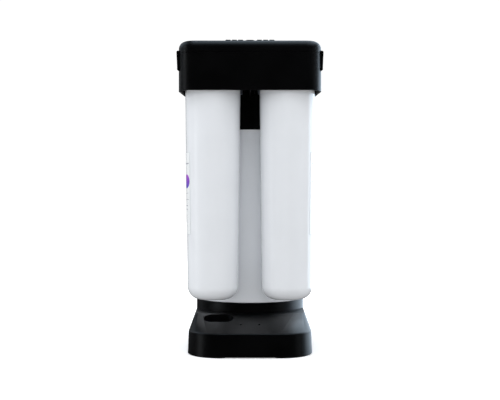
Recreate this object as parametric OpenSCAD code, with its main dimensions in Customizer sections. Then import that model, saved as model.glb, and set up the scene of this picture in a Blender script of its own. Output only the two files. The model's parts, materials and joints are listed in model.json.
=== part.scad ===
// Countertop water dispenser: a white tank column on a black foot, with a black head that
// overhangs two bayonet filter cartridges, and a lever tap on the far side.
// +Z is up and the cartridge side faces -Y. The origin is the middle of the footprint at the
// feet. All sizes are in millimetres. Parts are laid out round the column axis, and on_column
// moves them into the frame.

/* [Overall heights] */
// Height of the underside of the base shell above the worktop
foot_h = 1; // [0.8:0.1:2]
// Height of the upright wall of the base
base_wall_top_z = 28.9; // [26:0.1:30]
// Height of the crease where the slope of the base meets the collar
crease_z = 46; // [44:0.5:47]
// Height of the top of the collar
collar_top_z = 58.9; // [56:0.1:62]
// Height of the underside of the head
head_bottom_z = 317.8; // [317:0.1:318]
// Height of the seam between the head and its lid
seam_z = 362.9; // [362:0.1:364]
// Height of the top face of the lid
lid_top_z = 377.7; // [377:0.1:379]

/* [Column] */
// Radius of the white column
column_r = 68; // [67.5:0.1:68.2]
// Height of the top of the column, with its trim ring
column_top_z = 276.1; // [270:0.1:280]
// Radius of the black neck between column and head
neck_r = 65; // [64.8:0.1:65.4]

/* [Base] */
// Distance from the column axis to the near edge of the base
base_near = 129; // [126:1:130]
// Radius of the near corners of the base
base_corner_r = 40; // [38:1:41]
// Half the width of the base at its near corners
base_half_w = 76.4; // [75:0.1:78]
// Radius of the far side of the base
base_far_r = 76.4; // [75:0.1:78]
// How far the upright wall leans in over its height
base_draft = 1.05; // [0.8:0.05:1.2]
// Radius of the collar that holds the column
collar_r = 70.6; // [70.2:0.1:70.8]

/* [Head] */
// Distance from the column axis to the near wall of the head
head_near = 132; // [130:0.5:134]
// Half the width of the head at its near corners
head_half_w = 85.6; // [85:0.1:87]
// Radius of the near corners of the head
head_corner_r = 19; // [17:1:21]
// Radius of the far side of the head
head_far_r = 77; // [75:0.5:79]
// Radius of the round edge of the lid
lid_edge_r = 9; // [8:0.5:9.5]
// Number of raised grip bars on the lid
bar_count = 8; // [4:2:8]
// Distance between the middles of two grip bars
bar_pitch = 7.45; // [7:0.05:8]

/* [Cartridges] */
// Distance from the middle plane to each cartridge axis
cartridge_x = 45.5; // [45.2:0.1:45.8]
// Distance from the column axis to the cartridge axes, towards the near side
cartridge_near = 92; // [91.5:0.1:93]
// Radius of a cartridge at its top
cartridge_top_r = 33.75; // [33.4:0.05:33.8]
// Radius of a cartridge just above its rounded bottom
cartridge_low_r = 30.95; // [30.5:0.05:31.2]
// Height of the flat bottom of a cartridge
cartridge_bottom_z = 66.5; // [66:0.1:68]

/* [Tap] */
// Height of the middle of the tap barrel
tap_z = 185; // [170:1:200]
// Distance from the column axis to the tip of the tap lever
tap_reach = 118; // [116:1:120]

/* [Hidden] */

$fn = 96;
black = "#17191c";
deep_black = "#0c0d0f";
white = "#eef0f2";
rubber = "#101010";
steel = "#b9bec4";
hull_step = 6;
wall_step = 5;
skin = 0.01;
gap = 0.3;

// The column axis lies off the middle, so that the footprint is centred on the origin
column_y = (head_near - tap_reach) / 2;
wall = 2.5;

base_corner_x = base_half_w - base_corner_r;
base_corner_y = base_corner_r - base_near;
base_rounds = [
    [base_corner_x, base_corner_y, base_corner_r],
    [0, 0, base_far_r],
    [-base_corner_x, base_corner_y, base_corner_r],
];
crease_rounds = [[54, -57, 15], [0, 0, collar_r - 0.6], [-54, -57, 15]];
collar_depth = 2;
base_plate_h = 3;
base_plate_top_z = foot_h + base_plate_h;
column_inner_r = column_r - wall;
ledge_r = column_r - 5.5;
base_screw_places = [[60, -66], [-60, -66], [61.8, 16.6], [-61.8, 16.6], [0, -112]];
base_screw_r = 1.5;

port_pocket = [-38.6, -85];
pocket_half_l = 18.5;
pocket_half_w = 10.5;
pocket_floor_z = 14;
port_pitch = 18;
port_places = [
    [port_pocket[0] - port_pitch / 2, port_pocket[1]],
    [port_pocket[0] + port_pitch / 2, port_pocket[1]],
];
port_bore_r = 3.2;
port_socket_z = 22;
port_top_z = 30;
collet_travel = 1.2;
drain_hole_x = 11.3;
drain_hole_y = -103;
drain_hole_r = 1.5;

rim_h = 2.4;
neck_inner_r = neck_r - 2.4;
stand_top_z = crease_z + 3;
tank_r = 48;
tank_top_z = 250;
tank_wall = 1.6;
rod_reach = 59.5;
rod_r = 2.5;
rod_angles = [45, 135, 225, 315];
tube_r = 3.175;
tube_bore_r = 2.1;
tube_low_z = 7.5;
riser_places = [[-20, -52], [8, -55.2]];
tank_stub_x = 15;

head_corner_x = head_half_w - head_corner_r;
head_corner_y = head_corner_r - head_near;
head_rounds = [
    [head_corner_x, head_corner_y, head_corner_r],
    [0, 0, head_far_r],
    [-head_corner_x, head_corner_y, head_corner_r],
];
floor_z = 328;
floor_top_z = floor_z + 3;
lid_bottom_z = seam_z + gap;
lid_roof_z = lid_top_z - 2.7;
lid_step_z = lid_top_z - 7.2;
lip_inset = 5.8;
bar_h = 1.2;
bar_w = 6.3;
button_y = 9.4 + 1.2 - head_near;
button_w = 9.6;
button_d = 6;
button_travel = 1.2;
timer_top_z = 369;
timer_y = 24 - head_near;

socket_r = 35.4;
flange_z = floor_z - 2.6;
guard_reach = 2.35;
guard_span = 16;
housing_r = 24.5;
housing_top_z = 350.5;
core_r = 21.08;
core_bore_r = 17.15;
core_top_z = 346.9;
neck_radius = 17;
cap_seam_z = head_bottom_z - 0.9;
cap_top_z = flange_z - gap;
neck_top_z = 342;
o_ring_heights = [333.5, 338];
boss_offset = 9;
tube_loop_z = 357;

cartridge_round_r = 16;
canister_wall = 2.2;
label_bottom_z = 146;
label_top_z = 245.5;
label_span = 172;

side_angle = tangent_normal(head_rounds[0], head_rounds[1]);
latch_from = -8.5;
latch_to = 25.5;
latch_bottom_z = 341.9;
latch_top_z = 366.2;
latch_axis_z = latch_bottom_z + 2.5;
latch_axis_n = -0.8;
latch_pocket = 3.1;
latch_pin_r = 1;
window_from = 4;
window_to = 13.4;
lug_to = 9.2;

tap_y = 92;
tap_barrel_r = 9;
tap_seat_z = tap_z - 11;
tap_chamber_r = 6.05;
tap_body_top_z = tap_z + 13;
tap_nozzle_z = tap_z - 35;
tap_shank_r = 8;
tap_bore_r = 4;
elbow_y = 54.5;
shank_from = 59.2;
bonnet_top_z = tap_body_top_z + 5;
lever_arm = 7;
lever_y = tap_y + lever_arm;
lever_z = bonnet_top_z + 6;
lever_pin_r = 1.2;
fork_r = 1.2;
stem_r = 1.9;

// Direction of the outward normal of the line that touches circles a and b, each [x, y, r],
// when the outline runs anticlockwise from a to b
function tangent_normal(a, b) =
    let (d = norm([b[0] - a[0], b[1] - a[1]]))
    atan2(b[1] - a[1], b[0] - a[0]) - acos((a[2] - b[2]) / d);

// Angle b as its first value at or above angle a
function angle_after(a, b) = a + ((b - a) % 360 + 360) % 360;

// Points of the outline stretched round circles that are listed anticlockwise
function outline(rounds, inset = 0, step = wall_step) =
    let (n = len(rounds))
    [
        for (i = [0:n - 1])
            let (
                c = rounds[i],
                start = tangent_normal(rounds[(i + n - 1) % n], c),
                stop = angle_after(start, tangent_normal(c, rounds[(i + 1) % n])),
                steps = ceil((stop - start) / step)
            )
            for (k = [0:steps])
                let (a = start + (stop - start) * k / steps)
                [c[0] + (c[2] - inset) * cos(a), c[1] + (c[2] - inset) * sin(a)],
    ];

// Radius of a cartridge at height z
function cartridge_radius(z) =
    cartridge_low_r + (cartridge_top_r - cartridge_low_r)
    * (z - cartridge_bottom_z - cartridge_round_r)
    / (cap_seam_z - cartridge_bottom_z - cartridge_round_r);

// Point of a ring of a coil spring
function coil_point(r, wire, pitch, turn, side, sides) =
    let (a = 360 * turn, b = 360 * side / sides, reach = r + wire * cos(b))
    [reach * cos(a), reach * sin(a), pitch * turn + wire * sin(b)];

module on_column() translate([0, column_y, 0]) children();

module slab(points, z, h) translate([0, 0, z]) linear_extrude(h) polygon(points);

module disc(r, z, h) translate([0, 0, z]) cylinder(r = r, h = h);

module ring(r_out, r_in, z, h) difference() {
    disc(r_out, z, h);
    disc(r_in, z - 1, h + 2);
}

module oval(half_l, half_w, z, h) translate([0, 0, z]) {
    for (side = [-1, 1]) translate([side * (half_l - half_w), 0, 0]) cylinder(r = half_w, h = h);
    translate([half_w - half_l, -half_w, 0]) cube([2 * (half_l - half_w), 2 * half_w, h]);
}

module bar_between(from, to, r) {
    run = to - from;
    translate(from)
        rotate([0, acos(run[2] / norm(run)), atan2(run[1], run[0])])
            cylinder(r = r, h = norm(run), $fn = 24);
}

// Bent tube: straight runs with a ball elbow at each bend, bored through
module tube(route) difference() {
    tube_core(route, tube_r);
    tube_core(route, tube_bore_r);
    for (end = [[route[0], route[1]], [route[len(route) - 1], route[len(route) - 2]]])
        bar_between(end[0] + 0.4 * (end[0] - end[1]) / norm(end[0] - end[1]), end[1], tube_bore_r);
}

module tube_core(route, r) {
    for (i = [0:len(route) - 2]) bar_between(route[i], route[i + 1], r);
    for (i = [1:1:len(route) - 2]) translate(route[i]) sphere(r = r + 0.3, $fn = 24);
}

// Coil spring that stands on z = 0
module coil(r, wire, height, turns, sides = 6, steps = 14) {
    rings = turns * steps;
    pitch = (height - 2 * wire) / turns;
    points = [
        for (i = [0:rings]) for (k = [0:sides - 1])
            coil_point(r, wire, pitch, i / steps, k, sides) + [0, 0, wire],
    ];
    sides_of_tube = [
        for (i = [0:rings - 1]) for (k = [0:sides - 1])
            [i * sides + k, i * sides + (k + 1) % sides,
             (i + 1) * sides + (k + 1) % sides, (i + 1) * sides + k],
    ];
    ends = [
        [for (k = [0:sides - 1]) sides - 1 - k],
        [for (k = [0:sides - 1]) rings * sides + k],
    ];
    polyhedron(points, concat(sides_of_tube, ends));
}

// ---- Base ----

module base_form() hull() {
    slab(outline(base_rounds, 0, hull_step), foot_h, skin);
    slab(outline(base_rounds, base_draft, hull_step), base_wall_top_z - 1.6, skin);
    slab(outline(base_rounds, base_draft + 0.5, hull_step), base_wall_top_z - 0.5, skin);
    slab(outline(base_rounds, base_draft + 1.8, hull_step), base_wall_top_z + 0.4, skin);
    slab(outline(crease_rounds, 0, hull_step), crease_z - skin, skin);
}

module base_hollow() hull() {
    slab(outline(base_rounds, wall + 0.6, hull_step), foot_h - 1, skin);
    slab(outline(base_rounds, wall + 1.4, hull_step), base_wall_top_z - 3.4, skin);
    slab(outline(crease_rounds, 3.4, hull_step), crease_z - 3.4, skin);
}

module base_shell() color(black) on_column() difference() {
    base_form();
    difference() {
        base_hollow();
        translate(port_pocket)
            oval(pocket_half_l + 2, pocket_half_w + 2, pocket_floor_z - 2, crease_z);
        for (place = base_screw_places) translate(place) disc(4.5, base_plate_top_z, crease_z);
    }
    ring(collar_r, column_r, crease_z - collar_depth, collar_top_z);
    disc(ledge_r, crease_z - 5, collar_top_z);
    translate(port_pocket) oval(pocket_half_l, pocket_half_w, pocket_floor_z, crease_z);
    for (place = port_places) translate(place) disc(5, 0, crease_z);
    for (side = [-1, 1])
        translate([side * drain_hole_x, drain_hole_y, 0]) disc(drain_hole_r, base_plate_top_z, crease_z);
    for (place = base_screw_places) translate(place) disc(base_screw_r, 0, 15);
}

// Ring that stands in a groove of the base shell and holds the foot of the column
module base_collar() color(black) on_column()
    ring(collar_r, column_r, crease_z - collar_depth, collar_top_z - crease_z + collar_depth);

module base_plate() color(black) on_column() difference() {
    union() {
        slab(outline(base_rounds, wall + 0.9), foot_h, base_plate_h);
        for (a = rod_angles) rotate(a) translate([rod_reach, 0, 0]) disc(6, foot_h, 11);
    }
    for (a = rod_angles)
        rotate(a) translate([rod_reach, 0, 0]) disc(rod_r, base_plate_top_z, 20);
    for (place = base_screw_places) translate(place) {
        disc(base_screw_r, 0, 10);
        disc(3.4, 0, foot_h + 2);
    }
}

module foot_arc(r_out, r_in) ring(r_out, r_in, 0, foot_h);

module rubber_feet() color(rubber) on_column() {
    for (side = [-1, 1]) {
        intersection() {
            translate([side * base_corner_x, base_corner_y, 0])
                foot_arc(base_corner_r - 1.4, base_corner_r - 13);
            translate([side * 70 - 40, -base_near, -1]) cube([80, base_near + base_corner_y, 9]);
        }
        intersection() {
            foot_arc(base_far_r - 1.4, base_far_r - 13);
            rotate(90 - side * 35) translate([60, -18, -1]) cube([20, 36, 9]);
        }
    }
}

module pan_screw(head_r, head_h, shank_r, length) {
    difference() {
        cylinder(r = head_r, h = head_h, $fn = 32);
        for (a = [0, 90])
            rotate(a) translate([-head_r * 0.6, -0.35, -1]) cube([head_r * 1.2, 0.7, 1 + head_h / 2]);
    }
    cylinder(r = shank_r, h = length, $fn = 32);
}

module base_screws() color(steel) on_column()
    for (place = base_screw_places)
        translate([place[0], place[1], foot_h + 0.4]) pan_screw(3.2, 1.6, base_screw_r, 12);

// ---- Water ports ----

module port_fitting() difference() {
    union() {
        disc(5, pocket_floor_z - 3, 5);
        disc(8, pocket_floor_z, port_top_z - pocket_floor_z);
    }
    disc(tube_r, 0, pocket_floor_z);
    disc(tube_bore_r, 0, port_top_z);
    disc(port_bore_r, pocket_floor_z + 1, port_top_z);
    disc(5.4, port_socket_z, port_top_z);
}

module collet() difference() {
    union() {
        disc(5.3, port_socket_z + 3.6, port_top_z - port_socket_z - 3.6);
        disc(6.6, port_top_z + collet_travel + 0.3, 1.6);
        disc(5.3, port_top_z - 1, collet_travel + 1.5);
    }
    disc(port_bore_r + 0.05, 0, 60);
    for (a = [0, 90]) rotate(a) translate([-7, -0.4, 0]) cube([14, 0.8, port_top_z - 1.5]);
}

module inlet_fitting() color("#2b2e33") on_column() translate(port_places[0]) port_fitting();

module outlet_fitting() color("#2b2e33") on_column() translate(port_places[1]) port_fitting();

module inlet_collet() color("#3f6fa8") on_column() translate(port_places[0]) collet();

module outlet_collet() color("#8f949b") on_column() translate(port_places[1]) collet();

module o_ring(r, section) rotate_extrude() translate([r, 0]) circle(r = section, $fn = 24);

module port_o_rings() color(rubber) on_column()
    for (place = port_places) translate([place[0], place[1], port_socket_z + 1]) o_ring(4.35, 1);

// ---- Column ----

module column_shell() color(white) on_column() difference() {
    disc(column_r, crease_z, column_top_z - rim_h - crease_z);
    disc(column_inner_r, crease_z - 1, column_top_z);
    translate([0, column_inner_r - 20, tap_z]) rotate([-90, 0, 0])
        cylinder(r = tap_shank_r + 0.2, h = 40);
}

module column_rim() color("#d5d8db") on_column() ring(column_r, neck_inner_r, column_top_z - rim_h, rim_h);

module tank_stand() color("#3a3d42") on_column() difference() {
    disc(column_inner_r - gap, crease_z, stand_top_z - crease_z);
    disc(20, 0, 60);
    rod_holes(rod_r + 0.2);
    for (place = riser_places) translate(place) disc(tube_r + 0.4, 0, 60);
}

module rod_holes(r)
    for (a = rod_angles) rotate(a) translate([rod_reach, 0, 0]) disc(r, 0, 400);

// Pressure tank with rounded shoulders, a foot ring and two tube stubs
module water_tank() color("#c9cdd2") on_column() difference() {
    union() {
        translate([0, 0, stand_top_z]) rotate_extrude() tank_section(0);
        for (side = [-1, 1]) translate([side * tank_stub_x, 0, 0]) disc(6, tank_top_z - 4, 10);
    }
    translate([0, 0, stand_top_z]) rotate_extrude() tank_section(tank_wall);
    for (side = [-1, 1]) translate([side * tank_stub_x, 0, 0]) {
        disc(tube_bore_r, tank_top_z - 20, 60);
        disc(tube_r, tank_top_z - 1, 60);
    }
}

module tank_section(inset) {
    h = tank_top_z - stand_top_z;
    round_r = 18;
    intersection() {
        translate([0, inset]) square([tank_r - inset, h - 2 * inset]);
        union() {
            translate([0, round_r]) square([tank_r - inset, h - 2 * round_r]);
            square([tank_r - round_r, h]);
            for (z = [round_r, h - round_r]) translate([tank_r - round_r, z]) circle(r = round_r - inset);
        }
    }
}

module tie_rods() color(steel) on_column()
    for (a = rod_angles) rotate(a) translate([rod_reach, 0, 0])
        disc(rod_r, base_plate_top_z, floor_top_z + 7 - base_plate_top_z);

module tie_rod_nuts() color(steel) on_column()
    for (a = rod_angles) rotate(a) translate([rod_reach, 0, floor_top_z]) difference() {
        cylinder(r = 4.6, h = 4, $fn = 6);
        disc(rod_r, -1, 6);
    }

module neck_ring() color(deep_black) on_column()
    ring(neck_r, neck_inner_r, column_top_z, floor_z - column_top_z);

// ---- Tubes ----

module inlet_tube() color("#3f6fa8") on_column() tube([
    [port_places[0][0], port_places[0][1], pocket_floor_z - 0.2],
    [port_places[0][0], port_places[0][1], tube_low_z],
    [riser_places[0][0], riser_places[0][1], tube_low_z],
    [riser_places[0][0], riser_places[0][1], tube_loop_z],
    [-cartridge_x - boss_offset, -cartridge_near, tube_loop_z],
    [-cartridge_x - boss_offset, -cartridge_near, housing_top_z],
]);

module outlet_tube() color("#e8e8e8") on_column() tube([
    [port_places[1][0], port_places[1][1], pocket_floor_z - 0.2],
    [port_places[1][0], port_places[1][1], tube_low_z],
    [riser_places[1][0], riser_places[1][1], tube_low_z],
    [riser_places[1][0], riser_places[1][1], 264],
    [riser_places[1][0], -30, 264],
]);

module cross_tube() color("#e8e8e8") on_column() tube([
    [boss_offset - cartridge_x, -cartridge_near, housing_top_z],
    [boss_offset - cartridge_x, -cartridge_near, tube_loop_z],
    [cartridge_x - boss_offset, -cartridge_near, tube_loop_z],
    [cartridge_x - boss_offset, -cartridge_near, housing_top_z],
]);

module tank_tube() color("#e8e8e8") on_column() tube([
    [cartridge_x + boss_offset, -cartridge_near, housing_top_z],
    [cartridge_x + boss_offset, -cartridge_near, tube_loop_z],
    [cartridge_x + boss_offset, -40, tube_loop_z],
    [tank_stub_x, 0, tube_loop_z],
    [tank_stub_x, 0, tank_top_z - 1],
]);

module tap_tube() color("#e8e8e8") on_column() tube([
    [-tank_stub_x, 0, tank_top_z - 1],
    [-tank_stub_x, 0, 300],
    [0, elbow_y, 300],
    [0, elbow_y, tap_z + 6],
]);

// ---- Head ----

// Moves a part that is drawn against the right-hand wall to that wall: X outwards, Y along
// the wall from its near end, mirrored for the left-hand wall
module at_side(side = 1)
    mirror([side < 0 ? 1 : 0, 0, 0])
        translate([
            head_corner_x + head_corner_r * cos(side_angle),
            head_corner_y + head_corner_r * sin(side_angle),
            0,
        ]) rotate(side_angle) children();

module latch_room(side, z, h, deeper = 0) at_side(side)
    translate([-latch_pocket - deeper, latch_from - gap - deeper, z])
        cube([20, latch_to - latch_from + 2 * (gap + deeper), h]);

module latch_backing(side, z, h) at_side(side)
    translate([-latch_pocket - wall, latch_from - 2.5, z])
        cube([latch_pocket + 1, latch_to - latch_from + 5, h]);

module head_body() color(black) on_column() union() {
    difference() {
        slab(outline(head_rounds), head_bottom_z, seam_z - head_bottom_z);
        difference() {
            slab(outline(head_rounds, wall), head_bottom_z - 1, floor_z - head_bottom_z + 1);
            difference() {
                union() {
                    translate([-1, -head_near, 0]) cube([2, head_near, floor_z + 1]);
                    for (side = [-1, 1])
                        translate([side * 6.7 - 0.5, -head_near, 321]) cube([1, head_near, 9]);
                }
                disc(neck_r, 0, 400);
            }
        }
        difference() {
            slab(outline(head_rounds, wall), floor_top_z, 60);
            for (side = [-1, 1])
                latch_backing(side, latch_bottom_z - 3, seam_z - latch_bottom_z + 3);
        }
        for (side = [-1, 1]) latch_room(side, latch_bottom_z - gap, 60);
        slab(outline(head_rounds, wall / 2), seam_z - 1.5, 9);
        for (side = [-1, 1]) translate([side * cartridge_x, -cartridge_near, 0]) {
            disc(housing_r + 0.1, floor_z - 1, 9);
            socket_screw_places() disc(1.5, floor_z - 1, 9);
        }
        disc(46, floor_z - 1, 9);
        rod_holes(rod_r + 0.2);
        for (place = riser_places) translate(place) disc(tube_r + 0.4, floor_z - 1, 9);
    }
    for (side = [-1, 1]) at_side(side) latch_lug();
}

// Lug on the wall that carries the latch pin
module latch_lug() difference() {
    union() {
        translate([latch_axis_n, window_from + gap, latch_axis_z]) rotate([-90, 0, 0])
            cylinder(r = 1.8, h = lug_to - window_from - gap, $fn = 32);
        translate([-latch_pocket - 0.5, window_from + gap, latch_axis_z - 1.6])
            cube([latch_pocket + 0.5, lug_to - window_from - gap, 3.2]);
    }
    latch_pin_bar(latch_pin_r);
}

module latch_pin_bar(r) translate([latch_axis_n, latch_from + 3, latch_axis_z]) rotate([-90, 0, 0])
    cylinder(r = r, h = latch_to - latch_from - 6, $fn = 32);

module lid_gasket() color(rubber) on_column() difference() {
    slab(outline(head_rounds, wall / 2), seam_z - 1.5, 1.4);
    slab(outline(head_rounds, wall), seam_z - 3, 9);
    for (side = [-1, 1]) latch_room(side, latch_bottom_z, 60, 0.1);
}

module lid_form() hull() {
    slab(outline(head_rounds, 0, hull_step), lid_bottom_z, skin);
    for (a = [0:15:90])
        slab(
            outline(head_rounds, lid_edge_r * (1 - cos(a)), hull_step),
            lid_top_z - lid_edge_r * (1 - sin(a)) - skin,
            skin
        );
}

module head_lid() color(black) on_column() difference() {
    union() {
        difference() {
            lid_form();
            difference() {
                union() {
                    slab(outline(head_rounds, wall + 0.5), lid_bottom_z - 1, lid_step_z - lid_bottom_z + 1);
                    slab(outline(head_rounds, wall + 4.5), lid_bottom_z - 1, lid_roof_z - lid_bottom_z + 1);
                }
                difference() {
                    slab(outline(head_rounds, lip_inset), lid_bottom_z - 1, 20);
                    slab(outline(head_rounds, lip_inset + 2), lid_bottom_z - 2, 30);
                }
                for (side = [-1, 1]) {
                    latch_backing(side, lid_bottom_z, 30);
                    translate([side * 13, timer_y, timer_top_z]) cylinder(r = 2.5, h = 20);
                }
            }
        }
        difference() {
            slab(outline(head_rounds, lip_inset), seam_z - 4, 6);
            slab(outline(head_rounds, lip_inset + 2), seam_z - 5, 9);
        }
        for (i = [0:bar_count - 1]) grip_bar((i - (bar_count - 1) / 2) * bar_pitch);
    }
    for (side = [-1, 1]) {
        latch_room(side, lid_bottom_z - 1, latch_top_z + 0.6 - lid_bottom_z + 1);
        at_side(side) translate([-latch_pocket - 1.3, 1, lid_bottom_z - 1]) cube([9, 15, 3.6]);
    }
    translate([0, button_y, 0]) {
        oval(button_w / 2 + gap, button_d / 2 + gap, lid_bottom_z, 60);
        translate([-10, -6, seam_z - 9]) cube([20, 10, lid_roof_z - seam_z + 9]);
    }
}

// Raised bar with round ends across the near edge of the lid
module grip_bar(x) {
    from_y = abs(x) < bar_pitch ? 14 - head_near : lid_edge_r + 0.6 - head_near;
    to_y = lid_edge_r + 12 - head_near;
    translate([x, 0, lid_top_z - 1]) {
        for (y = [from_y + 1.2, to_y - 1.2])
            for (side = [-1, 1])
                translate([side * (bar_w / 2 - 1.2), y, 0]) cylinder(r = 1.2, h = 1 + bar_h, $fn = 24);
        translate([-bar_w / 2, from_y + 1.2, 0]) cube([bar_w, to_y - from_y - 2.4, 1 + bar_h]);
        translate([1.2 - bar_w / 2, from_y, 0]) cube([bar_w - 2.4, to_y - from_y, 1 + bar_h]);
    }
}

module filter_timer() color("#2f5f46") on_column() translate([0, timer_y, 0]) {
    translate([-17, -15, timer_top_z - 4.6]) cube([34, 28, 1.6]);
    translate([-16, -9, timer_top_z - 3]) cube([32, 21, 3]);
    translate([-3, button_y - timer_y - 3, timer_top_z - 3]) cube([6, 6, 3]);
}

module timer_button() color(deep_black) on_column() translate([0, button_y, 0]) {
    oval(button_w / 2, button_d / 2, lid_roof_z - 1, lid_top_z + 0.7 - lid_roof_z + 1);
    oval(button_w / 2 + 1.4, button_d / 2 + 0.1, lid_roof_z - 1.8, 1.2);
    disc(1.2, timer_top_z + button_travel + 0.3, lid_roof_z - 1 - timer_top_z - button_travel - 0.3);
}

module button_spring() color(steel) on_column() translate([0, button_y, timer_top_z + 0.05])
    coil(2, 0.25, lid_roof_z - 1.9 - timer_top_z, 4, 5, 12);

// ---- Filter sockets ----

module at_cartridge(side) on_column() translate([side * cartridge_x, -cartridge_near, 0]) children();

module socket_screw_places() for (a = [90, 210, 330]) rotate(a) translate([29.5, 0, 0]) children();

// Screwed flange with the valve housing on top, and a short guard on the inward side that
// hangs down beside the cartridge
module socket(side) difference() {
    union() {
        disc(socket_r, flange_z, floor_z - flange_z);
        rotate(90 + side * 90 - guard_span / 2) rotate_extrude(angle = guard_span)
            translate([cartridge_top_r + gap, head_bottom_z - 0.4])
                square([guard_reach - gap, floor_z - head_bottom_z + 0.4]);
        disc(housing_r, floor_z, housing_top_z - floor_z);
        for (i = [-1, 1]) translate([i * boss_offset, 0, 0]) disc(5.2, housing_top_z, 3);
    }
    disc(core_r + 0.07, flange_z - 1, core_top_z + 0.4 - flange_z + 1);
    for (i = [-1, 1]) translate([i * boss_offset, 0, 0]) {
        disc(tube_bore_r, core_top_z, 20);
        disc(tube_r, housing_top_z, 20);
    }
    socket_screw_places() disc(1.1, floor_z - 2, 4);
}

module socket_left() color(black) at_cartridge(-1) socket(-1);

module socket_right() color(black) at_cartridge(1) socket(1);

module socket_screws() color(steel)
    for (side = [-1, 1]) at_cartridge(side) socket_screw_places()
        translate([0, 0, floor_top_z + 1.6]) mirror([0, 0, 1]) pan_screw(2.6, 1.6, 1.1, 6);

// Quarter-turn valve core: turning it a quarter takes its two passages away from the ports
module valve_core() difference() {
    disc(core_r, flange_z + 0.3, core_top_z - flange_z - 0.3);
    disc(core_bore_r, flange_z, neck_top_z + 0.8 - flange_z);
    for (side = [-1, 1]) {
        translate([side * boss_offset, 0, 0]) disc(2.5, flange_z, 60);
        translate([-2.4, side * 18 - 1.5, flange_z - 1]) cube([4.8, 3, 8]);
    }
}

module valve_core_left() color("#d9dbde") at_cartridge(-1) valve_core();

module valve_core_right() color("#d9dbde") at_cartridge(1) valve_core();

// ---- Cartridges ----

// Half section of a canister, drawn in by inset from its outer face
module canister_section(inset, top_z) {
    round_r = cartridge_round_r - inset;
    centre = [cartridge_low_r - cartridge_round_r, cartridge_bottom_z + cartridge_round_r];
    polygon(concat(
        [[0, top_z], [0, centre[1] - round_r]],
        [for (a = [-90:6:0]) centre + round_r * [cos(a), sin(a)]],
        [[cartridge_top_r - inset, cap_seam_z], [cartridge_top_r - inset, top_z]]
    ));
}

module canister() rotate_extrude() difference() {
    canister_section(0, cap_seam_z);
    canister_section(canister_wall, cap_seam_z + 1);
}

module neck_cap() difference() {
    union() {
        disc(cartridge_top_r, cap_seam_z, cap_top_z - cap_seam_z - 1.2);
        translate([0, 0, cap_top_z - 1.2])
            cylinder(r1 = cartridge_top_r, r2 = cartridge_top_r - 1.2, h = 1.2);
        disc(cartridge_top_r - canister_wall - 0.15, cap_seam_z - 8, 9);
        disc(neck_radius, cap_top_z - 1, neck_top_z - cap_top_z + 1);
        for (side = [-1, 1]) translate([-2, side * 17 - 2, cap_top_z + 2.4]) cube([4, 4, 4]);
    }
    disc(cartridge_top_r - canister_wall - 2.5, cap_seam_z - 9, 11);
    disc(8, 0, 400);
    for (a = [45, 225]) rotate(a) translate([12, 0, 0]) disc(2.4, 0, 400);
    for (z = o_ring_heights) ring(neck_radius + 1, neck_radius - 1.9, z - 1.15, 2.3);
}

module neck_o_rings() for (z = o_ring_heights) translate([0, 0, z]) o_ring(neck_radius - 0.95, 0.93);

// Printed film on the outward side of a canister
module label(side) rotate(side > 0 ? -34 : 180 + 34 - label_span) rotate_extrude(angle = label_span)
    polygon([
        [cartridge_radius(label_bottom_z) + 0.05, label_bottom_z],
        [cartridge_radius(label_bottom_z) + 0.25, label_bottom_z],
        [cartridge_radius(label_top_z) + 0.25, label_top_z],
        [cartridge_radius(label_top_z) + 0.05, label_top_z],
    ]);

module carbon_block() ring(24, 8.2, 84, 216);

// Two end caps and the middle tube that leads from the block up into the neck
module end_caps() difference() {
    union() {
        disc(25.5, 80, 4);
        ring(26.5, 24.2, 84, 4);
        disc(25.5, 300, 4);
        ring(26.5, 24.2, 296, 4);
        disc(7.8, 80, neck_top_z - 1 - 80);
    }
    disc(5.6, 84, 400);
    for (z = [96:24:290]) for (a = [0, 90]) rotate([0, 0, a]) translate([-9, -1.5, z]) cube([18, 3, 12]);
}

module canister_left() color(white) at_cartridge(-1) canister();

module canister_right() color(white) at_cartridge(1) canister();

module neck_cap_left() color(white) at_cartridge(-1) neck_cap();

module neck_cap_right() color(white) at_cartridge(1) neck_cap();

module neck_o_rings_left() color(rubber) at_cartridge(-1) neck_o_rings();

module neck_o_rings_right() color(rubber) at_cartridge(1) neck_o_rings();

module label_left() color("#f4f6f7") at_cartridge(-1) label(-1);

module label_right() color("#f4f6f7") at_cartridge(1) label(1);

module carbon_block_left() color("#26282a") at_cartridge(-1) carbon_block();

module carbon_block_right() color("#26282a") at_cartridge(1) carbon_block();

module end_caps_left() color("#dfe2e4") at_cartridge(-1) end_caps();

module end_caps_right() color("#dfe2e4") at_cartridge(1) end_caps();

// ---- Latches ----

module latch() difference() {
    union() {
        translate([0, latch_to, 0]) rotate([90, 0, 0]) linear_extrude(latch_to - latch_from)
            polygon([
                [-2.5, latch_axis_z],
                [0.3, latch_bottom_z + 0.9],
                [0.9, latch_axis_z],
                [1.8, latch_top_z - 1.4],
                [1, latch_top_z],
                [-2.5, latch_top_z],
            ]);
        translate([latch_axis_n, latch_from, latch_axis_z]) rotate([-90, 0, 0])
            cylinder(r = 1.9, h = latch_to - latch_from, $fn = 32);
        translate([-3.8, 2, latch_top_z - 2.4]) cube([3, 13, 1.2]);
    }
    translate([-9, window_from, latch_bottom_z - 1]) cube([18, window_to - window_from, 7.2]);
    latch_pin_bar(latch_pin_r + 0.05);
}

module latch_left() color(deep_black) on_column() at_side(-1) latch();

module latch_right() color(deep_black) on_column() at_side(1) latch();

module latch_pins() color(steel) on_column()
    for (side = [-1, 1]) at_side(side) translate([0, 0.1, 0]) intersection() {
        latch_pin_bar(latch_pin_r);
        translate([-9, latch_from + 3, 0]) cube([18, latch_to - latch_from - 6.3, 400]);
    }

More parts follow.
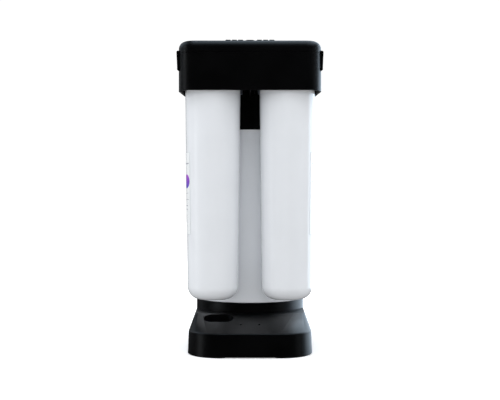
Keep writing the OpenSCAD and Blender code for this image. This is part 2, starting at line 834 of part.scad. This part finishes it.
module latch_springs() color(steel) on_column()
    for (side = [-1, 1]) at_side(side)
        translate([latch_axis_n, lug_to + 0.2, latch_axis_z]) rotate([-90, 0, 0])
            coil(1.45, 0.25, window_to - lug_to - 0.4, 5, 5, 12);

// ---- Tap ----

module along_y(y, h, r, z = tap_z) translate([0, y, z]) rotate([-90, 0, 0]) cylinder(r = r, h = h);

module tap_body() color(steel) on_column() difference() {
    union() {
        along_y(shank_from, 30, tap_shank_r);
        along_y(column_r + 1.2, 3, 14);
        along_y(column_r + 1.2, tap_y - column_r - 1.2, tap_barrel_r);
        translate([0, tap_y, 0]) {
            disc(tap_barrel_r, tap_z - 17, 17 + tap_body_top_z - tap_z);
            disc(7, tap_nozzle_z, 20);
        }
    }
    along_y(shank_from - 1, tap_y - shank_from, tap_bore_r);
    translate([0, tap_y, 0]) {
        disc(tap_bore_r, 0, 400);
        disc(tap_chamber_r, tap_seat_z, 60);
    }
}

module tap_washer() color(rubber) on_column() difference() {
    along_y(column_r - 3, 4.2, 13.4);
    along_y(column_r - 9, 20, tap_shank_r);
    disc(column_r, tap_z - 20, 40, $fn = 240);
}

module tap_nut() color(steel) on_column() difference() {
    translate([0, shank_from + 0.2, tap_z]) rotate([-90, 0, 0]) cylinder(r = 12, h = 4.6, $fn = 6);
    along_y(0, 99, tap_shank_r);
}

module tap_elbow() color(black) on_column() difference() {
    union() {
        translate([0, elbow_y, 0]) disc(4.6, tap_z - 6, 24);
        along_y(elbow_y, 11, tap_bore_r);
    }
    translate([0, elbow_y, 0]) {
        disc(tube_bore_r, tap_z, 60);
        disc(tube_r, tap_z + 6, 60);
    }
    along_y(elbow_y, 40, tube_bore_r);
}

module tap_bonnet() color(steel) on_column() difference() {
    union() {
        translate([0, tap_y, 0]) disc(9.4, tap_body_top_z, bonnet_top_z - tap_body_top_z);
        for (side = [-1, 1]) bonnet_lug(side);
    }
    translate([0, tap_y, 0]) disc(stem_r + 0.07, 0, 400);
    across(lever_pin_r, 40);
}

module across(r, w) translate([-w / 2, lever_y, lever_z]) rotate([0, 90, 0])
    cylinder(r = r, h = w, $fn = 48);

module bonnet_lug(side) translate([side * 6.8, 0, 0]) {
    across(2.7, 2.4);
    translate([-1.2, lever_y - 5, bonnet_top_z - 1]) cube([2.4, 7.7, 1 + lever_z - bonnet_top_z]);
}

module tap_stem() color(steel) on_column() translate([0, tap_y, 0]) {
    disc(stem_r, tap_seat_z + 6, lever_z + 2 - tap_seat_z - 6);
    disc(3.5, lever_z + fork_r + 0.25, 2.2);
    disc(5, tap_seat_z + 2.2, 4);
}

module tap_seal() color(rubber) on_column() translate([0, tap_y, tap_seat_z + 0.2]) disc(5.2, 0, 2);

module tap_spring() color(steel) on_column() translate([0, tap_y, tap_seat_z + 6.25])
    coil(3.2, 0.4, tap_body_top_z - tap_seat_z - 6.3, 7, 6, 12);

// Seesaw lever: the thumb plate in front of the pin, the lifting fork behind it
module tap_lever() color(steel) on_column() difference() {
    union() {
        across(3, 10.6);
        for (side = [-1, 1]) translate([side * 3.9, 0, 0]) {
            translate([-1.3, lever_y - lever_arm, lever_z - fork_r]) cube([2.6, lever_arm, 2 * fork_r]);
            translate([0, -lever_arm, 0]) across(fork_r, 2.6);
        }
        thumb_plate();
    }
    across(lever_pin_r + 0.06, 40);
}

module thumb_plate() translate([0, lever_y, lever_z]) rotate([18, 0, 0]) {
    reach = (tap_reach - lever_y - 1.35 * sin(18)) / cos(18);
    tip_r = 4;
    difference() {
        union() {
            translate([-4, 0, -1.3]) cube([8, reach - tip_r, 2.6]);
            for (side = [-1, 1])
                translate([side * 5, reach - tip_r, -1.3]) cylinder(r = tip_r, h = 2.6);
            translate([-5, reach - 2 * tip_r, -1.3]) cube([10, 2 * tip_r, 2.6]);
        }
        translate([0, -3, -5]) cube([4.2, 6, 10], center = true);
    }
}

module tap_pin() color(steel) on_column() across(lever_pin_r, 16.4);

module tap_aerator() color(steel) on_column() translate([0, tap_y, 0]) difference() {
    disc(8, tap_nozzle_z - 1.6, 8);
    disc(7, tap_nozzle_z, 20);
    for (a = [0:60:300]) rotate(a) translate([2.9, 0, 0]) disc(0.9, 0, 400);
    disc(0.9, 0, 400);
}

base_shell();
base_collar();
base_plate();
rubber_feet();
base_screws();
inlet_fitting();
outlet_fitting();
inlet_collet();
outlet_collet();
port_o_rings();
column_shell();
column_rim();
tank_stand();
water_tank();
tie_rods();
tie_rod_nuts();
neck_ring();
inlet_tube();
outlet_tube();
cross_tube();
tank_tube();
tap_tube();
head_body();
head_lid();
lid_gasket();
filter_timer();
timer_button();
button_spring();
socket_left();
socket_right();
socket_screws();
valve_core_left();
valve_core_right();
canister_left();
canister_right();
neck_cap_left();
neck_cap_right();
neck_o_rings_left();
neck_o_rings_right();
label_left();
label_right();
carbon_block_left();
carbon_block_right();
end_caps_left();
end_caps_right();
latch_left();
latch_right();
latch_pins();
latch_springs();
tap_body();
tap_washer();
tap_nut();
tap_elbow();
tap_bonnet();
tap_stem();
tap_seal();
tap_spring();
tap_lever();
tap_pin();
tap_aerator();
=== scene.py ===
"""Looks of the countertop water dispenser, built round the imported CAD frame. Metres, +Z up."""

import json
import math

import bmesh
import bpy
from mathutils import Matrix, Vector

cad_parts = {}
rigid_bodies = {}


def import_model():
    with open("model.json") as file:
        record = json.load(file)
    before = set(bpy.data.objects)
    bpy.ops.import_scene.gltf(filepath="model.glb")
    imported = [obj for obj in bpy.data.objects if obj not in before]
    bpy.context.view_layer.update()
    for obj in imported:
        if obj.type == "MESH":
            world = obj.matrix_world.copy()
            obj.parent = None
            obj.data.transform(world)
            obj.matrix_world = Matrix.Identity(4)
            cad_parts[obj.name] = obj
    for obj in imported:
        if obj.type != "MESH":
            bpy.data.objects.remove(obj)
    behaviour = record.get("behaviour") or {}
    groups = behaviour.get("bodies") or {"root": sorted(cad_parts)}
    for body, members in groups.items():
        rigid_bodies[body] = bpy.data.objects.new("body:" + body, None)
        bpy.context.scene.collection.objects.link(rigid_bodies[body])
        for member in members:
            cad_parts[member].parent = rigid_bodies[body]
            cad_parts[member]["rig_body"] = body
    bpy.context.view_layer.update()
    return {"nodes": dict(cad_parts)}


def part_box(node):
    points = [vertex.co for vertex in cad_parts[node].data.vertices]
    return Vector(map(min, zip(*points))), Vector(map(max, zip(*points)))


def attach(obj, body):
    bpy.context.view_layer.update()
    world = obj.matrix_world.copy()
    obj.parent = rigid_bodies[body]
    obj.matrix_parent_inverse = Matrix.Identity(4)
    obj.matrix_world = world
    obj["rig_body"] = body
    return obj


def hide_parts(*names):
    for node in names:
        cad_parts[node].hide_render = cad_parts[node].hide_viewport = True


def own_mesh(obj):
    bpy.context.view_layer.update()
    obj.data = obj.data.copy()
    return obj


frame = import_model()
nodes = frame["nodes"]

MM = 0.001


# ---- Places taken from the frame ----

def centre(node):
    low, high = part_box(node)
    return (low + high) / 2


column_axis_y = centre("column_shell").y
cartridge_centre = {side: centre(f"canister_{side}") for side in ("left", "right")}


# ---- Material building ----

def new_material(name):
    material = bpy.data.materials.new(name)
    material.use_nodes = True
    tree = material.node_tree
    return material, tree.nodes, tree.links, tree.nodes["Principled BSDF"]


def object_coordinates(tree_nodes):
    return tree_nodes.new("ShaderNodeTexCoord").outputs["Object"]


def noise(tree_nodes, links, vector, scale, detail=2.0, roughness=0.5):
    node = tree_nodes.new("ShaderNodeTexNoise")
    node.inputs["Scale"].default_value = scale
    node.inputs["Detail"].default_value = detail
    node.inputs["Roughness"].default_value = roughness
    links.new(vector, node.inputs["Vector"])
    return node.outputs["Fac"]


def spread(tree_nodes, links, value, low, high):
    """value, from about 0.3 to 0.7 as a noise gives it, spread over low to high."""
    node = tree_nodes.new("ShaderNodeMapRange")
    node.inputs["From Min"].default_value = 0.3
    node.inputs["From Max"].default_value = 0.7
    node.inputs["To Min"].default_value = low
    node.inputs["To Max"].default_value = high
    links.new(value, node.inputs["Value"])
    return node.outputs["Result"]


def mix_colours(tree_nodes, links, factor, first, second):
    """first where factor is 0, second where it is 1. Each is a colour or another node's output."""
    node = tree_nodes.new("ShaderNodeMix")
    node.data_type = "RGBA"
    links.new(factor, node.inputs[0])
    # Inputs 6 and 7 and output 2 are the colour sockets: the ones before them mix numbers and vectors
    for socket, value in ((node.inputs[6], first), (node.inputs[7], second)):
        if isinstance(value, tuple):
            socket.default_value = (*value, 1)
        else:
            links.new(value, socket)
    return node.outputs[2]


def bump(tree_nodes, links, height, strength, distance, under=None):
    node = tree_nodes.new("ShaderNodeBump")
    node.inputs["Strength"].default_value = strength
    node.inputs["Distance"].default_value = distance
    links.new(height, node.inputs["Height"])
    if under is not None:
        links.new(under, node.inputs["Normal"])
    return node.outputs["Normal"]


# Noise scales, in cells per metre
WAVES = 9.0
BLOTCHES = 28.0
SMUDGES = 60.0
METAL_GRAIN = 900.0
FILM_GRAIN = 1500.0


def plastic(name, dark, light, rough, grain_size=0.4 * MM, grain=0.25, depth=0.02 * MM, specular=0.5,
            coat=0.0, coat_rough=0.1, waviness=0.0):
    """Moulded plastic: fine grain, faint blotches of gloss and colour, slow waviness of the wall."""
    material, tree, links, shader = new_material(name)
    where = object_coordinates(tree)
    blotches = noise(tree, links, where, BLOTCHES, 3.0)
    fine = noise(tree, links, where, 1 / grain_size, 2.0, 0.6)
    shade = spread(tree, links, blotches, 0.0, 1.0)
    links.new(mix_colours(tree, links, shade, dark, light), shader.inputs["Base Color"])
    links.new(spread(tree, links, blotches, rough[0], rough[1]), shader.inputs["Roughness"])
    normal = bump(tree, links, fine, grain, depth)
    if waviness:
        slow = noise(tree, links, where, WAVES, 1.0)
        normal = bump(tree, links, slow, waviness, 1.0 * MM, normal)
    links.new(normal, shader.inputs["Normal"])
    shader.inputs["Specular IOR Level"].default_value = specular
    shader.inputs["Coat Weight"].default_value = coat
    shader.inputs["Coat Roughness"].default_value = coat_rough
    return material


def metal(name, dark, light, rough, depth=0.01 * MM):
    """Plated or polished metal: faint smudges of gloss and colour over a fine grain of that depth."""
    material, tree, links, shader = new_material(name)
    where = object_coordinates(tree)
    fine = noise(tree, links, where, METAL_GRAIN, 3.0, 0.6)
    smudges = noise(tree, links, where, SMUDGES, 3.0)
    shade = spread(tree, links, smudges, 0.0, 1.0)
    links.new(mix_colours(tree, links, shade, dark, light), shader.inputs["Base Color"])
    links.new(spread(tree, links, smudges, rough[0], rough[1]), shader.inputs["Roughness"])
    links.new(bump(tree, links, fine, 0.3, depth), shader.inputs["Normal"])
    shader.inputs["Metallic"].default_value = 1.0
    return material


BLACK = plastic("black_satin", (0.0010, 0.0009, 0.0011), (0.0018, 0.0016, 0.0019), (0.365, 0.405),
                grain_size=0.5 * MM, grain=0.35, depth=0.025 * MM, specular=0.4)
# Darker, duller copy of the black plastic: painted shade for the neck in the shadowed gap under the head;
# the tap elbow shares it
NECK_PAINTED_SHADE = plastic("neck_painted_shade", (0.0004, 0.0004, 0.0004), (0.0008, 0.0008, 0.0008), (0.5, 0.62),
                     specular=0.15)
LATCH_BLACK = plastic("latch_black", (0.0008, 0.0008, 0.0009), (0.0014, 0.0014, 0.0016), (0.4, 0.5),
                      grain_size=0.3 * MM, grain=0.15, specular=0.25)
# Black socket plastic painted grey-blue: painted sheen of the light that reaches the socket lugs through the
# gap between the cartridges
SOCKET_PAINTED_SHEEN = plastic("socket_painted_sheen", (0.06, 0.07, 0.085), (0.075, 0.086, 0.10), (0.3, 0.42))
WHITE_GLOSS = plastic("white_gloss", (0.815, 0.83, 0.855), (0.835, 0.85, 0.875), (0.15, 0.2),
                      grain=0.05, depth=0.01 * MM, specular=0.35, coat=0.15, coat_rough=0.06, waviness=0.01)
CAP_WHITE = plastic("cap_white", (0.86, 0.87, 0.885), (0.88, 0.89, 0.90), (0.2, 0.28),
                    grain=0.08, depth=0.01 * MM)
COLUMN_WHITE = plastic("column_white", (0.925, 0.945, 0.975), (0.935, 0.955, 0.985), (0.28, 0.33),
                       grain=0.12, depth=0.012 * MM)
# White trim ring made brighter than the column's white: painted highlight for the light strip along the
# column's rim
TRIM_WHITE_PAINTED_HIGHLIGHT = plastic("trim_white_painted_highlight", (0.96, 0.97, 0.98), (0.97, 0.98, 0.99), (0.14, 0.2), grain=0.05)
RUBBER = plastic("soft_rubber", (0.012, 0.012, 0.012), (0.022, 0.022, 0.022), (0.7, 0.85),
                 grain=0.6, specular=0.3)
TUBE_WHITE = plastic("tube_white", (0.74, 0.75, 0.75), (0.80, 0.81, 0.81), (0.3, 0.4), grain=0.1)
TUBE_BLUE = plastic("tube_blue", (0.02, 0.10, 0.30), (0.03, 0.13, 0.36), (0.3, 0.4), grain=0.1)
GREY = plastic("fitting_grey", (0.05, 0.052, 0.057), (0.065, 0.068, 0.074), (0.4, 0.5))
ACETAL = plastic("acetal", (0.66, 0.67, 0.66), (0.70, 0.71, 0.70), (0.35, 0.42), grain=0.1)
CARBON = plastic("sintered_carbon", (0.010, 0.010, 0.011), (0.025, 0.025, 0.026), (0.8, 0.95),
                 grain_size=1.2 * MM, grain=1.0, depth=0.3 * MM, specular=0.2)
BOARD = plastic("circuit_board", (0.012, 0.075, 0.04), (0.018, 0.10, 0.055), (0.3, 0.4), grain=0.2)
TANK = plastic("powder_coat", (0.50, 0.54, 0.58), (0.56, 0.60, 0.64), (0.42, 0.55),
               grain_size=0.9 * MM, grain=0.6, depth=0.05 * MM)
ZINC = metal("zinc_plate", (0.50, 0.51, 0.53), (0.62, 0.63, 0.65), (0.28, 0.42))
CHROME = metal("tap_chrome", (0.74, 0.75, 0.77), (0.80, 0.81, 0.83), (0.06, 0.13), depth=0.003 * MM)


# Labels. Distances round a label start at its near edge and are taken at LABEL_R, a little inside the film
LABEL_START = math.radians(34)
LABEL_R = 31.5 * MM
FILM_ARC = (0.0005, 0.0940)
FILM_HEIGHT = (0.1466, 0.2449)
FILM_WHITE = (0.885, 0.90, 0.905)
EDGE_GREY = (0.70, 0.72, 0.74)
RULE_GREY = (0.42, 0.44, 0.48)
DISC_BLUE = (0.05, 0.045, 0.55)
DISC_VIOLET = (0.42, 0.06, 0.62)
DISC_ARC, DISC_Z, DISC_R = 0.0092, 0.2105, 0.0085
# Rules: height, thickness, and where each starts and stops round the label
RULES = {
    "left": [(0.232, 0.0016, 0.0025, 0.0125), (0.196, 0.0006, 0.004, 0.030), (0.1885, 0.0006, 0.003, 0.026)],
    "right": [(0.232, 0.0016, 0.0060, 0.0125), (0.2105, 0.0010, 0.0065, 0.0115)],
}
RULES["left"] += [(z, 0.0009, 0.006, 0.022) for z in (0.181, 0.1765)]
RULES["right"] += [(z, 0.0009, 0.006, 0.0085) for z in (0.1872, 0.1830, 0.1787, 0.1744)]


def label_material(side):
    """White film with rows of plain rules and, on the left, a plain violet-blue disc."""
    material, tree, links, shader = new_material(f"label_film_{side}")
    axis = cartridge_centre[side]
    sign = -1 if side == "left" else 1
    where = object_coordinates(tree)
    split = tree.new("ShaderNodeSeparateXYZ")
    links.new(where, split.inputs["Vector"])

    def calc(operation, a, b=0.0, clamp=False):
        node = tree.new("ShaderNodeMath")
        node.operation = operation
        node.use_clamp = clamp
        for socket, value in zip(node.inputs, (a, b)):
            if isinstance(value, (int, float)):
                socket.default_value = value
            else:
                links.new(value, socket)
        return node.outputs[0]

    across = calc("MULTIPLY", calc("SUBTRACT", split.outputs["X"], axis.x), sign)
    along = calc("SUBTRACT", split.outputs["Y"], axis.y)
    angle = calc("ARCTAN2", along, across)
    arc = calc("MULTIPLY", calc("ADD", angle, LABEL_START), LABEL_R)
    height = split.outputs["Z"]

    def band(value, low, high):
        above = calc("GREATER_THAN", value, low)
        below = calc("LESS_THAN", value, high)
        return calc("MULTIPLY", above, below)

    def rule(arc_from, arc_to, z, thick):
        return calc("MULTIPLY", band(arc, arc_from, arc_to), band(height, z - thick / 2, z + thick / 2))

    marks = None
    for z, thick, start, stop in RULES[side]:
        piece = rule(start, stop, z, thick)
        marks = piece if marks is None else calc("MAXIMUM", marks, piece)
    edge = calc("SUBTRACT", 1.0, calc("MULTIPLY", band(arc, *FILM_ARC), band(height, *FILM_HEIGHT)))

    film = mix_colours(tree, links, marks, FILM_WHITE, RULE_GREY)
    colour = mix_colours(tree, links, edge, film, EDGE_GREY)
    if side == "left":
        far = calc("POWER", calc("SUBTRACT", arc, DISC_ARC), 2.0)
        up = calc("POWER", calc("SUBTRACT", height, DISC_Z), 2.0)
        reach = calc("SQRT", calc("ADD", far, up))
        inside = calc("LESS_THAN", reach, DISC_R)
        blend = calc("DIVIDE", calc("SUBTRACT", height, DISC_Z - DISC_R), 2 * DISC_R, True)
        violet_blue = mix_colours(tree, links, blend, DISC_BLUE, DISC_VIOLET)
        colour = mix_colours(tree, links, inside, colour, violet_blue)
    links.new(colour, shader.inputs["Base Color"])
    grain = noise(tree, links, where, FILM_GRAIN)
    links.new(spread(tree, links, grain, 0.22, 0.32), shader.inputs["Roughness"])
    links.new(bump(tree, links, grain, 0.08, 0.01 * MM), shader.inputs["Normal"])
    return material


# ---- CAD nodes: finish and edges ----

def paint(material, *names):
    for name in names:
        mesh = nodes[name].data
        mesh.materials.clear()
        mesh.materials.append(material)


WELD_GAP = 0.002 * MM
FLAT_ANGLE = math.radians(0.6)
SHARP_ANGLE = math.radians(32)
EDGE_WIDTH = 0.35 * MM


def soften(name):
    """Joins the node's faces, rounds its sharp edges and shades the rest smooth."""
    piece = nodes[name]
    piece.data.polygons.foreach_set("use_smooth", [True] * len(piece.data.polygons))
    weld = piece.modifiers.new("weld", "WELD")
    weld.merge_threshold = WELD_GAP
    flat = piece.modifiers.new("flat", "DECIMATE")
    flat.decimate_type = "DISSOLVE"
    flat.angle_limit = FLAT_ANGLE
    bevel = piece.modifiers.new("edges", "BEVEL")
    bevel.width = EDGE_WIDTH
    bevel.segments = 2
    bevel.limit_method = "ANGLE"
    bevel.angle_limit = SHARP_ANGLE
    bevel.use_clamp_overlap = True
    bevel.miter_outer = "MITER_ARC"
    split = piece.modifiers.new("split", "EDGE_SPLIT")
    split.split_angle = SHARP_ANGLE
    normals = piece.modifiers.new("normals", "WEIGHTED_NORMAL")
    normals.keep_sharp = True
    normals.weight = 60


paint(BLACK, "base_shell", "base_collar", "base_plate", "head_body", "head_lid")
paint(NECK_PAINTED_SHADE, "neck_ring", "tap_elbow")
paint(SOCKET_PAINTED_SHEEN, "socket_left", "socket_right")
paint(LATCH_BLACK, "latch_left", "latch_right", "timer_button")
paint(WHITE_GLOSS, "canister_left", "canister_right")
paint(CAP_WHITE, "neck_cap_left", "neck_cap_right", "end_caps_left", "end_caps_right")
paint(COLUMN_WHITE, "column_shell")
paint(TRIM_WHITE_PAINTED_HIGHLIGHT, "column_rim")
paint(RUBBER, "rubber_feet", "port_o_rings", "lid_gasket", "neck_o_rings_left", "neck_o_rings_right",
      "tap_washer", "tap_seal")
paint(ZINC, "base_screws", "tie_rods", "tie_rod_nuts", "socket_screws", "latch_pins", "latch_springs",
      "button_spring", "tap_spring", "tap_nut", "tap_pin")
paint(CHROME, "tap_body", "tap_bonnet", "tap_stem", "tap_lever", "tap_aerator")
paint(TANK, "water_tank")
paint(TUBE_BLUE, "inlet_tube", "inlet_collet")
paint(TUBE_WHITE, "outlet_tube", "cross_tube", "tank_tube", "tap_tube")
paint(GREY, "inlet_fitting", "outlet_fitting", "outlet_collet", "tank_stand")
paint(ACETAL, "valve_core_left", "valve_core_right")
paint(CARBON, "carbon_block_left", "carbon_block_right")
paint(BOARD, "filter_timer")
for side in ("left", "right"):
    paint(label_material(side), f"label_{side}")

for name in ("base_shell", "base_collar", "head_body", "head_lid",
             "latch_left", "latch_right", "tap_lever", "tap_bonnet"):
    soften(name)


# ---- Springs ----

WIRE_SIDES = 10
RINGS_PER_TURN = 28


def coil_mesh(name, middle, foot_z, height, radius, wire_r, turns):
    """Wire of radius wire_r wound round a vertical axis through middle, from foot_z up."""
    steps = turns * RINGS_PER_TURN
    climb = height - 2 * wire_r
    form = bmesh.new()
    rings = []
    for step in range(steps + 1):
        part = step / steps
        turn = math.tau * turns * part
        out = Vector((math.cos(turn), math.sin(turn), 0.0))
        seat = Vector((middle.x, middle.y, foot_z + wire_r + climb * part)) + radius * out
        rings.append([
            form.verts.new(seat + wire_r * (math.cos(a) * out + math.sin(a) * Vector((0.0, 0.0, 1.0))))
            for a in (math.tau * k / WIRE_SIDES for k in range(WIRE_SIDES))
        ])
    for low, high in zip(rings, rings[1:]):
        for k in range(WIRE_SIDES):
            after = (k + 1) % WIRE_SIDES
            form.faces.new((low[k], low[after], high[after], high[k]))
    form.faces.new(rings[0])
    form.faces.new(reversed(rings[-1]))
    bmesh.ops.recalc_face_normals(form, faces=form.faces)
    mesh = bpy.data.meshes.new(name)
    form.to_mesh(mesh)
    form.free()
    mesh.polygons.foreach_set("use_smooth", [True] * len(mesh.polygons))
    return mesh


def live_spring(node, turns, wire_r):
    """Coil for the CAD spring; it takes the hidden CAD node's place on the same body."""
    low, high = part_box(node)
    height = high.z - low.z
    radius = (high.x - low.x) / 2 - wire_r
    middle = (low + high) / 2
    mesh = coil_mesh(f"{node}_coil", middle, low.z, height, radius, wire_r, turns)
    coil = bpy.data.objects.new(f"{node}_coil", mesh)
    bpy.context.scene.collection.objects.link(coil)
    coil.data.materials.append(ZINC)
    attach(coil, nodes[node]["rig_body"])
    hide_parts(node)
    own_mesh(coil)


live_spring("button_spring", turns=4, wire_r=0.25 * MM)
live_spring("tap_spring", turns=7, wire_r=0.4 * MM)


# ---- Stage, light and camera ----

PHOTO_DISTANCE = 1.162
LENS = 62.8
EYE_HEIGHT = 0.1878
FLOOR_HALF = 6.0
FLOOR_FADE = ((0.1, 0.25), (0.9, 1.0))  # (distance from the middle, glow) where the fade starts and ends
MIDDLE = Vector((0.0, 0.0, 0.19))
COOL = (0.70, 0.85, 1.0)
FAINTLY_COOL = (0.92, 0.96, 1.0)

scene = bpy.context.scene
scene.view_settings.view_transform = "Standard"
scene.view_settings.look = "None"

camera_data = bpy.data.cameras.new("camera")
camera_data.lens = LENS
camera_data.sensor_width = 36.0
camera_data.clip_end = 50.0
camera = bpy.data.objects.new("camera", camera_data)
camera.location = (0.0, column_axis_y - PHOTO_DISTANCE, EYE_HEIGHT)
camera.rotation_euler = (math.radians(90), 0.0, 0.0)
scene.collection.objects.link(camera)
scene.camera = camera


def floor():
    """Plain pale floor that fades into the white backdrop away from the object."""
    mesh = bpy.data.meshes.new("floor")
    form = bmesh.new()
    bmesh.ops.create_grid(form, x_segments=2, y_segments=2, size=FLOOR_HALF)
    form.to_mesh(mesh)
    form.free()
    plane = bpy.data.objects.new("floor", mesh)
    scene.collection.objects.link(plane)
    material, tree, links, shader = new_material("pale_floor")
    where = object_coordinates(tree)
    shade = spread(tree, links, noise(tree, links, where, 3.0), 0.0, 1.0)
    tone = mix_colours(tree, links, shade, (0.93, 0.93, 0.93), (0.95, 0.95, 0.95))
    links.new(tone, shader.inputs["Base Color"])
    shader.inputs["Roughness"].default_value = 0.9
    shader.inputs["Specular IOR Level"].default_value = 0.1
    reach = tree.new("ShaderNodeVectorMath")
    reach.operation = "LENGTH"
    links.new(where, reach.inputs[0])
    fade = tree.new("ShaderNodeMapRange")
    (near, near_glow), (far, far_glow) = FLOOR_FADE
    fade.inputs["From Min"].default_value = near
    fade.inputs["From Max"].default_value = far
    fade.inputs["To Min"].default_value = near_glow
    fade.inputs["To Max"].default_value = far_glow
    links.new(reach.outputs["Value"], fade.inputs["Value"])
    shader.inputs["Emission Color"].default_value = (1, 1, 1, 1)
    links.new(fade.outputs["Result"], shader.inputs["Emission Strength"])
    mesh.materials.append(material)
    plane.visible_glossy = False
    plane.visible_diffuse = False


def world_light(camera_strength, strength):
    """Even white light: strength on the object, camera_strength as the backdrop that the camera sees."""
    world = bpy.data.worlds.new("studio")
    scene.world = world
    world.use_nodes = True
    tree, links = world.node_tree.nodes, world.node_tree.links
    path = tree.new("ShaderNodeLightPath")
    choose = tree.new("ShaderNodeMapRange")
    choose.inputs["To Min"].default_value = strength
    choose.inputs["To Max"].default_value = camera_strength
    links.new(path.outputs["Is Camera Ray"], choose.inputs["Value"])
    links.new(choose.outputs["Result"], tree["Background"].inputs["Strength"])
    tree["Background"].inputs["Color"].default_value = (1, 1, 1, 1)
    world.cycles_visibility.glossy = False


def panel(name, azimuth, elevation, distance, size, radiance, colour, glossy, diffuse):
    """Soft panel that faces the object. Azimuth runs from the camera side towards +X, in degrees."""
    across, up = math.radians(azimuth), math.radians(elevation)
    away = Vector((math.sin(across) * math.cos(up), -math.cos(across) * math.cos(up), math.sin(up)))
    data = bpy.data.lights.new(name, "AREA")
    data.shape = "RECTANGLE"
    data.size, data.size_y = size
    data.energy = radiance * math.pi * size[0] * size[1]
    data.color = colour
    lamp = bpy.data.objects.new(name, data)
    lamp.location = MIDDLE + distance * away
    lamp.rotation_euler = away.to_track_quat("Z", "Y").to_euler()
    lamp.visible_glossy = glossy
    lamp.visible_diffuse = diffuse
    lamp.visible_camera = False
    scene.collection.objects.link(lamp)


floor()
world_light(camera_strength=1.05, strength=0.54)
for name, azimuth, elevation, distance, size, radiance, colour, glossy, diffuse in (
    ("overhead", 0, 89, 1.6, (3.0, 3.0), 1.2, FAINTLY_COOL, False, True),
    ("front_panel", 0, 6, 1.6, (0.40, 1.4), 1.3, FAINTLY_COOL, False, True),
    ("left_front", -50, 6, 1.5, (0.6, 1.4), 1.9, FAINTLY_COOL, False, True),
    ("right_front", 48, 6, 1.5, (0.6, 1.4), 1.5, FAINTLY_COOL, False, True),
    ("left_panel", -96, 8, 1.5, (1.2, 1.5), 1.2, FAINTLY_COOL, False, True),
    ("right_panel", 90, 8, 1.5, (1.2, 1.5), 0.8, FAINTLY_COOL, False, True),
    ("left_strip", -72, 6, 1.5, (0.24, 1.5), 1.6, FAINTLY_COOL, True, False),
    ("right_strip", 68, 6, 1.5, (0.16, 1.5), 0.7, FAINTLY_COOL, True, False),
    ("right_back", 134, 9, 1.5, (2.1, 1.4), 3.3, COOL, True, False),
    ("top_right", 80, 74, 1.5, (1.6, 1.6), 1.5, COOL, True, False),
    ("top_left", -110, 42, 1.5, (1.2, 1.0), 1.0, COOL, True, False),
    ("top_back", 150, 52, 1.5, (1.3, 1.0), 1.3, COOL, True, False),
    ("left_back", -128, 12, 1.5, (1.0, 1.2), 0.35, FAINTLY_COOL, True, False),
    ("back", 180, 18, 1.5, (0.8, 1.2), 0.5, FAINTLY_COOL, True, False),
):
    panel(name, azimuth, elevation, distance, size, radiance, colour, glossy, diffuse)
